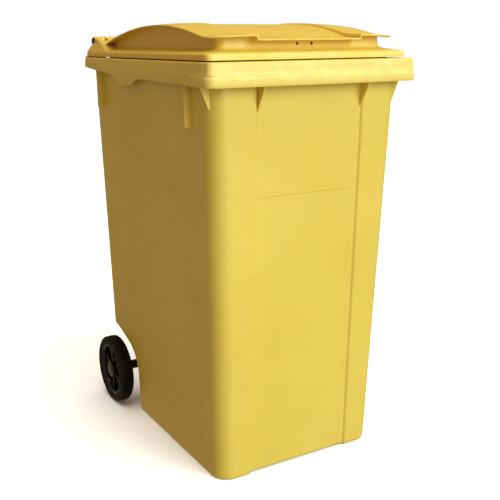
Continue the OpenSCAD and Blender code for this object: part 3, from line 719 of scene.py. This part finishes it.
def make_hub(sign):
    """Rim ring, dished web, ribs, boss and the housing of the locking pin."""
    a, b = WHEEL_IN, WHEEL_OUT
    outer_side = [(75.9, a + 3), (75.9, b - 3), (74.8, b - 2.2), (72.5, b - 2.0), (71.0, b - 2.8),
                  (69.8, b - 4.8), (67.6, b - 9), (67.0, b - 16), (66.4, b - 18.4), (64.0, b - 19.6),
                  (24.5, b - 16.6), (22.0, b - 14.8), (21.2, b - 12), (21.0, b - 4.6), (20.4, b - 4.0)]
    bore = [(HUB_BORE_R, b - 4.0), (HUB_BORE_R, a)]
    inner_side = [(20.2, a), (21.0, a + 0.8), (21.2, a + 11), (22.0, a + 13.4), (24.5, a + 14.6),
                  (64.0, a + 14.6), (66.4, a + 13.4), (67.0, a + 11), (67.6, a + 7), (69.8, a + 4),
                  (71.2, a + 2.7), (74.8, a + 2.2)]
    hub = lathe("hub", outer_side + bore + inner_side, AXLE_Y, AXLE_Z, 128, sign)
    csg(hub, "UNION", *[spoke(i, sign) for i in range(SPOKES)], post(sign, 9.0, 15, 38, 1.4))
    csg(hub, "DIFFERENCE", post(sign, 3.07, 5, 20), post(sign, 5.07, 14.7, 60),
        rod(*across(sign, LOCK_X - 30, LOCK_X + 30), AXLE_Y, AXLE_Z, HUB_BORE_R, n=128))
    return hub


def make_cap(sign):
    """Domed cap with a step near its edge and a ring that snaps into the boss."""
    b = WHEEL_OUT
    dome = [(0.0, b - 0.05), (4.0, b - 0.08), (9.0, b - 0.25), (13.5, b - 0.6), (16.6, b - 1.1),
            (17.4, b - 1.7), (18.4, b - 1.9), (21.8, b - 2.0), (23.2, b - 2.3), (23.9, b - 3.1),
            (23.6, b - 3.85), (22.6, b - 3.9)]
    snap_ring = [(11.03, b - 3.9), (11.03, b - 7.6), (10.7, b - 8.0), (8.8, b - 8.0), (8.5, b - 7.6),
                 (8.5, b - 4.2), (8.0, b - 3.7), (0.0, b - 3.7)]
    return lathe("cap", dome + snap_ring, AXLE_Y, AXLE_Z, 96, sign)


def make_hinge_pin(sign):
    """Pin with a low rounded head at its outer end."""
    shank = [(0.0, 199.5), (4.6, 199.5), (6.0, 201.0), (6.0, 253.05)]
    head = [(8.8, 253.05), (9.4, 253.5), (9.5, 254.3), (9.2, 255.3), (8.2, 256.2), (6.0, 256.8),
            (3.0, 257.0), (0.0, 257.0)]
    return lathe("hinge_pin", shank + head, HINGE_Y, HINGE_Z, 64, sign)


# The coil stands on the locking pin's collar and ends under its plug
COIL_R, COIL_WIRE, COIL_Z0, COIL_Z1, COIL_TURNS = 4.0, 0.45, 18.5, 28.5, 6


def make_spring(sign):
    """Coil of round wire round the locking pin."""
    around = np.linspace(0, 2 * math.pi, 12, endpoint=False)
    loops = []
    for t in np.linspace(0, 1, COIL_TURNS * 36 + 1):
        turn = 2 * math.pi * COIL_TURNS * t
        reach = COIL_R + COIL_WIRE * np.cos(around)
        height = AXLE_Z + COIL_Z0 + (COIL_Z1 - COIL_Z0) * t - COIL_WIRE * np.sin(around)
        loops.append(np.stack([sign * LOCK_X + reach * math.cos(turn),
                               AXLE_Y + reach * math.sin(turn), height], 1))
    return stack("spring", loops)


# ---------------------------------------------------------------- materials
def nodes_of(name):
    """A new material, its node tree and its surface node."""
    mat = bpy.data.materials.new(name)
    mat.use_nodes = True
    nt = mat.node_tree
    return mat, nt, nt.nodes["Principled BSDF"]


def noise(nt, coord, scale, detail=3.0, rough=0.55):
    """Soft three-dimensional noise in the piece's own space."""
    node = nt.nodes.new("ShaderNodeTexNoise")
    node.inputs["Scale"].default_value = scale
    node.inputs["Detail"].default_value = detail
    node.inputs["Roughness"].default_value = rough
    nt.links.new(coord, node.inputs["Vector"])
    return node.outputs["Fac"]


def ramp_between(nt, fac, lo, hi, a=0.0, b=1.0):
    """Smooth change from a to b as fac goes from lo to hi."""
    node = nt.nodes.new("ShaderNodeMapRange")
    node.interpolation_type = "SMOOTHSTEP"
    node.inputs["From Min"].default_value = lo
    node.inputs["From Max"].default_value = hi
    node.inputs["To Min"].default_value = a
    node.inputs["To Max"].default_value = b
    nt.links.new(fac, node.inputs["Value"])
    return node.outputs["Result"]


def mix_colour(nt, fac, a, b):
    """a where the mask fac is 0, b where it is 1; each is a colour or a socket."""
    node = nt.nodes.new("ShaderNodeMix")
    node.data_type = "RGBA"
    if isinstance(fac, float):
        node.inputs[0].default_value = fac
    else:
        nt.links.new(fac, node.inputs[0])
    for socket, value in ((node.inputs[6], a), (node.inputs[7], b)):
        if isinstance(value, tuple):
            socket.default_value = value
        else:
            nt.links.new(value, socket)
    return node.outputs[2]


def maths(nt, op, a, b):
    """One arithmetic step on two numbers or sockets."""
    node = nt.nodes.new("ShaderNodeMath")
    node.operation = op
    for socket, value in ((node.inputs[0], a), (node.inputs[1], b)):
        if isinstance(value, (int, float)):
            socket.default_value = value
        else:
            nt.links.new(value, socket)
    return node.outputs[0]


def bump(nt, height, distance, strength=1.0, chain=None):
    """Fine relief of the given depth in metres, over an earlier normal if there is one."""
    node = nt.nodes.new("ShaderNodeBump")
    node.inputs["Distance"].default_value = distance
    node.inputs["Strength"].default_value = strength
    nt.links.new(height, node.inputs["Height"])
    if chain is not None:
        nt.links.new(chain, node.inputs["Normal"])
    return node.outputs["Normal"]


def yellow_plastic(name, base, bright, deep):
    """Moulded polyethylene: fine spark texture, slow colour drift, a painted highlight on the front of
    the rim and lid, faint scuffs and dust low down.
    """
    mat, nt, bsdf = nodes_of(name)
    at = nt.nodes.new("ShaderNodeTexCoord").outputs["Object"]
    sep = nt.nodes.new("ShaderNodeSeparateXYZ")
    nt.links.new(at, sep.inputs[0])
    slow = noise(nt, at, 3.2, 3.0)
    cloud = noise(nt, at, 19.0, 4.0, 0.6)
    grain = noise(nt, at, 640.0, 2.0, 0.6)
    fine = noise(nt, at, 1500.0, 2.0, 0.5)
    colour = mix_colour(nt, ramp_between(nt, slow, 0.36, 0.66), base, bright)
    colour = mix_colour(nt, ramp_between(nt, cloud, 0.50, 0.78, 0.0, 0.35), colour, deep)
    speck = ramp_between(nt, grain, 0.60, 0.78, 0.0, 0.10)
    colour = mix_colour(nt, speck, colour, deep)
    # Painted highlight: the front of the rim and lid is made paler, in soft patches, standing in for the
    # brighter light that falls there
    high = ramp_between(nt, sep.outputs["Z"], 0.962, 0.985)
    ahead = ramp_between(nt, sep.outputs["Y"], -0.372, -0.335, 1.0, 0.0)
    highlight_patches = ramp_between(nt, noise(nt, at, 26.0, 4.0, 0.6), 0.35, 0.65, 0.35, 0.75)
    colour = mix_colour(nt, maths(nt, "MULTIPLY", maths(nt, "MULTIPLY", high, ahead), highlight_patches), colour,
                        (0.86, 0.73, 0.24, 1))
    dust_height = ramp_between(nt, sep.outputs["Z"], 0.0, 0.16, 1.0, 0.0)
    dusty = ramp_between(nt, noise(nt, at, 34.0, 5.0, 0.7), 0.52, 0.80, 0.0, 0.22)
    dust = maths(nt, "MULTIPLY", dust_height, dusty)
    colour = mix_colour(nt, dust, colour, (0.42, 0.33, 0.17, 1))
    nt.links.new(colour, bsdf.inputs["Base Color"])
    scuff = ramp_between(nt, noise(nt, at, 55.0, 6.0, 0.72), 0.60, 0.80, 0.0, 0.10)
    rough = maths(nt, "ADD", ramp_between(nt, cloud, 0.3, 0.75, 0.40, 0.50), scuff)
    rough = maths(nt, "ADD", rough, maths(nt, "MULTIPLY", dust, 0.5))
    nt.links.new(rough, bsdf.inputs["Roughness"])
    normal = bump(nt, slow, 0.0016, 0.35)
    normal = bump(nt, grain, 0.00012, 0.5, normal)
    normal = bump(nt, fine, 0.00005, 0.4, normal)
    nt.links.new(normal, bsdf.inputs["Normal"])
    bsdf.inputs["IOR"].default_value = 1.5
    bsdf.inputs["Subsurface Weight"].default_value = 0.10
    bsdf.inputs["Subsurface Radius"].default_value = (0.012, 0.006, 0.0015)
    bsdf.inputs["Subsurface Scale"].default_value = 0.6
    return mat


def dark_plastic(name, base, lift, rough_lo, rough_hi, grain_scale=900.0, grain_depth=0.00006,
                 dusty=0.25, shine=0.4):
    """Black plastic or rubber: fine grain, a faint cloud in tone and gloss, and thin dust."""
    mat, nt, bsdf = nodes_of(name)
    at = nt.nodes.new("ShaderNodeTexCoord").outputs["Object"]
    cloud = noise(nt, at, 38.0, 5.0, 0.65)
    grain = noise(nt, at, grain_scale, 2.0)
    colour = mix_colour(nt, ramp_between(nt, cloud, 0.42, 0.72), base, lift)
    dust = ramp_between(nt, noise(nt, at, 90.0, 6.0, 0.75), 0.55, 0.85, 0.0, dusty)
    colour = mix_colour(nt, dust, colour, (0.030, 0.028, 0.025, 1))
    nt.links.new(colour, bsdf.inputs["Base Color"])
    nt.links.new(ramp_between(nt, cloud, 0.3, 0.75, rough_lo, rough_hi), bsdf.inputs["Roughness"])
    nt.links.new(bump(nt, grain, grain_depth, 0.6, bump(nt, cloud, 0.0003, 0.3)), bsdf.inputs["Normal"])
    bsdf.inputs["Specular IOR Level"].default_value = shine
    return mat


def dark_steel(name):
    """Coated axle steel with rust where the coat is thin."""
    mat, nt, bsdf = nodes_of(name)
    at = nt.nodes.new("ShaderNodeTexCoord").outputs["Object"]
    patch = noise(nt, at, 60.0, 6.0, 0.7)
    pit = noise(nt, at, 420.0, 4.0, 0.7)
    rust = ramp_between(nt, patch, 0.48, 0.66, 0.0, 0.85)
    colour = mix_colour(nt, rust, (0.030, 0.026, 0.024, 1), (0.085, 0.030, 0.014, 1))
    nt.links.new(colour, bsdf.inputs["Base Color"])
    nt.links.new(ramp_between(nt, rust, 0.0, 0.85, 0.38, 0.78), bsdf.inputs["Roughness"])
    nt.links.new(bump(nt, pit, 0.0002, 0.5), bsdf.inputs["Normal"])
    bsdf.inputs["Metallic"].default_value = 0.25
    return mat


def bright_steel(name, tone, streak_axis=(600, 60, 60)):
    """Plated steel drawn along one axis, with a little tarnish."""
    mat, nt, bsdf = nodes_of(name)
    coord = nt.nodes.new("ShaderNodeTexCoord").outputs["Object"]
    mapping = nt.nodes.new("ShaderNodeMapping")
    mapping.inputs["Scale"].default_value = streak_axis
    nt.links.new(coord, mapping.inputs["Vector"])
    streak = noise(nt, mapping.outputs[0], 8.0, 4.0, 0.6)
    tarnish = noise(nt, coord, 160.0, 5.0, 0.7)
    colour = mix_colour(nt, ramp_between(nt, tarnish, 0.45, 0.75, 0.0, 0.6), tone, (0.30, 0.27, 0.23, 1))
    nt.links.new(colour, bsdf.inputs["Base Color"])
    nt.links.new(ramp_between(nt, streak, 0.3, 0.7, 0.26, 0.42), bsdf.inputs["Roughness"])
    nt.links.new(bump(nt, streak, 0.00005, 0.5), bsdf.inputs["Normal"])
    bsdf.inputs["Metallic"].default_value = 1.0
    return mat


bin_yellow = yellow_plastic("bin_yellow", (0.70, 0.535, 0.082, 1), (0.73, 0.565, 0.096, 1),
                            (0.66, 0.485, 0.060, 1))
lid_yellow = yellow_plastic("lid_yellow", (0.75, 0.530, 0.070, 1), (0.78, 0.560, 0.084, 1),
                            (0.71, 0.475, 0.050, 1))
black_part = dark_plastic("black_part", (0.006, 0.006, 0.006, 1), (0.011, 0.0105, 0.010, 1), 0.34, 0.48)
hub_black = dark_plastic("hub_black", (0.003, 0.003, 0.004, 1), (0.007, 0.007, 0.008, 1), 0.20, 0.34,
                         shine=0.5)
cap_black = dark_plastic("cap_black", (0.003, 0.003, 0.004, 1), (0.006, 0.006, 0.007, 1), 0.16, 0.28,
                         grain_scale=1300.0, grain_depth=0.00003, dusty=0.06)
rubber = dark_plastic("tyre_rubber", (0.003, 0.003, 0.0036, 1), (0.006, 0.006, 0.0068, 1), 0.52, 0.72,
                      grain_scale=700.0, grain_depth=0.00015, dusty=0.16, shine=0.2)
axle_metal = dark_steel("axle_metal")
plated = bright_steel("plated_steel", (0.50, 0.49, 0.46, 1))
wire = bright_steel("spring_wire", (0.56, 0.55, 0.53, 1), (60, 60, 600))

# ---------------------------------------------------------------- build
bin_nodes = [p["node"] for p in frame["record"]["subparts"] if p["material_slot"] == "bin_plastic"]
place(make_body(), "bin_shell", "bin", bin_nodes, bin_yellow)
place(make_lid(), "lid_shell", "lid", ["lid"], lid_yellow)
for side, sign in (("left", -1), ("right", 1)):
    wheel = "wheel_" + side
    place(make_tyre(sign), "tyre_tread_" + side, wheel, ["tyre_" + side], rubber, 40)
    place(make_hub(sign), "hub_spoked_" + side, wheel, ["wheel_hub_" + side], hub_black)
    place(make_cap(sign), "cap_domed_" + side, wheel, ["hub_cap_" + side], cap_black)
    place(make_hinge_pin(sign), "pin_headed_" + side, "lid",
          ["hinge_pin_" + side], black_part)
    coil = place(make_spring(sign), "lock_coil_" + side, wheel,
                 ["locking_spring_" + side], wire, 80)
    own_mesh(coil)

CARRIED = {"axle": axle_metal, "spacer_sleeve": black_part, "axle_washer": plated, "locking_pin": plated,
           "spring_plug": black_part}
for name, node in frame["nodes"].items():
    for start, material in CARRIED.items():
        if name.startswith(start):
            node.data.materials.clear()
            node.data.materials.append(material)


# ---------------------------------------------------------------- floor, light, camera
def make_floor():
    """Plain pale floor that runs on past the edges of the picture."""
    far = 30
    me = bpy.data.meshes.new("floor")
    me.from_pydata([(-far, -far, 0), (far, -far, 0), (far, far, 0), (-far, far, 0)], [], [(0, 1, 2, 3)])
    floor = bpy.data.objects.new("floor", me)
    bpy.context.scene.collection.objects.link(floor)
    mat, nt, bsdf = nodes_of("pale_floor")
    bsdf.inputs["Base Color"].default_value = (0.96, 0.96, 0.96, 1)
    bsdf.inputs["Roughness"].default_value = 0.9
    me.materials.append(mat)
    # The floor takes the bin's shadow but throws no light back on it
    floor.visible_diffuse = False
    floor.visible_glossy = False


def area_light(name, place_at, aim, size, power, colour=(1, 1, 1)):
    """A soft panel of light at one place, turned to face another."""
    light = bpy.data.lights.new(name, "AREA")
    light.shape = "RECTANGLE"
    light.size, light.size_y = size
    light.energy = power
    light.color = colour
    ob = bpy.data.objects.new(name, light)
    ob.location = place_at
    ob.rotation_mode = "QUATERNION"
    ob.rotation_quaternion = (Vector(aim) - Vector(place_at)).to_track_quat("-Z", "Y")
    bpy.context.scene.collection.objects.link(ob)


def sun(name, towards, power, angle, colour=(1, 1, 1)):
    """A soft distant light; towards points from the bin to the light."""
    light = bpy.data.lights.new(name, "SUN")
    light.energy = power
    light.angle = math.radians(angle)
    light.color = colour
    ob = bpy.data.objects.new(name, light)
    ob.rotation_mode = "QUATERNION"
    ob.rotation_quaternion = Vector(towards).to_track_quat("Z", "Y")
    bpy.context.scene.collection.objects.link(ob)
    return ob


make_floor()
sun("key", (0.30, -0.80, 0.38), 2.5, 40, (0.82, 0.97, 1.0))
area_light("top", (0.2, -0.6, 3.6), (0, 0, 0.9), (2.2, 1.8), 36, (1.0, 0.80, 0.45))
area_light("low_front", (-0.1, -3.0, 0.7), (0, -0.33, 1.06), (1.3, 0.5), 15, (1.0, 0.90, 0.76))

# The floor has a light of its own, which doesn't fall on the bin
wash = sun("floor_wash", (0.05, -0.1, 1.0), 2.6, 70)
only_floor = bpy.data.collections.new("only_floor")
only_floor.objects.link(bpy.data.objects["floor"])
wash.light_linking.receiver_collection = only_floor

# White behind the bin, and a dimmer, slightly warm light from all round
world = bpy.data.worlds.new("studio")
world.use_nodes = True
sky = world.node_tree
lit = sky.nodes["Background"]
lit.inputs["Color"].default_value = (1.0, 0.77, 0.53, 1)
lit.inputs["Strength"].default_value = 0.40
seen = sky.nodes.new("ShaderNodeBackground")
seen.inputs["Color"].default_value = (1, 1, 1, 1)
seen.inputs["Strength"].default_value = 1.0
path = sky.nodes.new("ShaderNodeLightPath")
either = sky.nodes.new("ShaderNodeMixShader")
sky.links.new(path.outputs["Is Camera Ray"], either.inputs[0])
sky.links.new(lit.outputs[0], either.inputs[1])
sky.links.new(seen.outputs[0], either.inputs[2])
sky.links.new(either.outputs[0], sky.nodes["World Output"].inputs["Surface"])
scene = bpy.context.scene
scene.world = world
scene.view_settings.view_transform = "Standard"

# Camera: place, heading, pitch and roll found from the straight edges of the rim and body
CAM_AT = Vector((-1.0851, -1.5055 - SHIFT / 1000, 1.0690))
YAW, PITCH, ROLL = 0.53848, 0.25627, 0.00782
SENSOR_MM, LENS_MM = 36, 58.06872
look = Vector((math.sin(YAW) * math.cos(PITCH), math.cos(YAW) * math.cos(PITCH), -math.sin(PITCH)))
flat_right = Vector((math.cos(YAW), -math.sin(YAW), 0))
flat_down = look.cross(flat_right)
right = flat_right * math.cos(ROLL) + flat_down * math.sin(ROLL)
down = -flat_right * math.sin(ROLL) + flat_down * math.cos(ROLL)
cam_data = bpy.data.cameras.new("camera")
cam_data.sensor_width = SENSOR_MM
cam_data.lens = LENS_MM
cam = bpy.data.objects.new("camera", cam_data)
cam.matrix_world = Matrix(((right.x, -down.x, -look.x, CAM_AT.x),
                           (right.y, -down.y, -look.y, CAM_AT.y),
                           (right.z, -down.z, -look.z, CAM_AT.z),
                           (0, 0, 0, 1)))
scene.collection.objects.link(cam)
scene.camera = cam
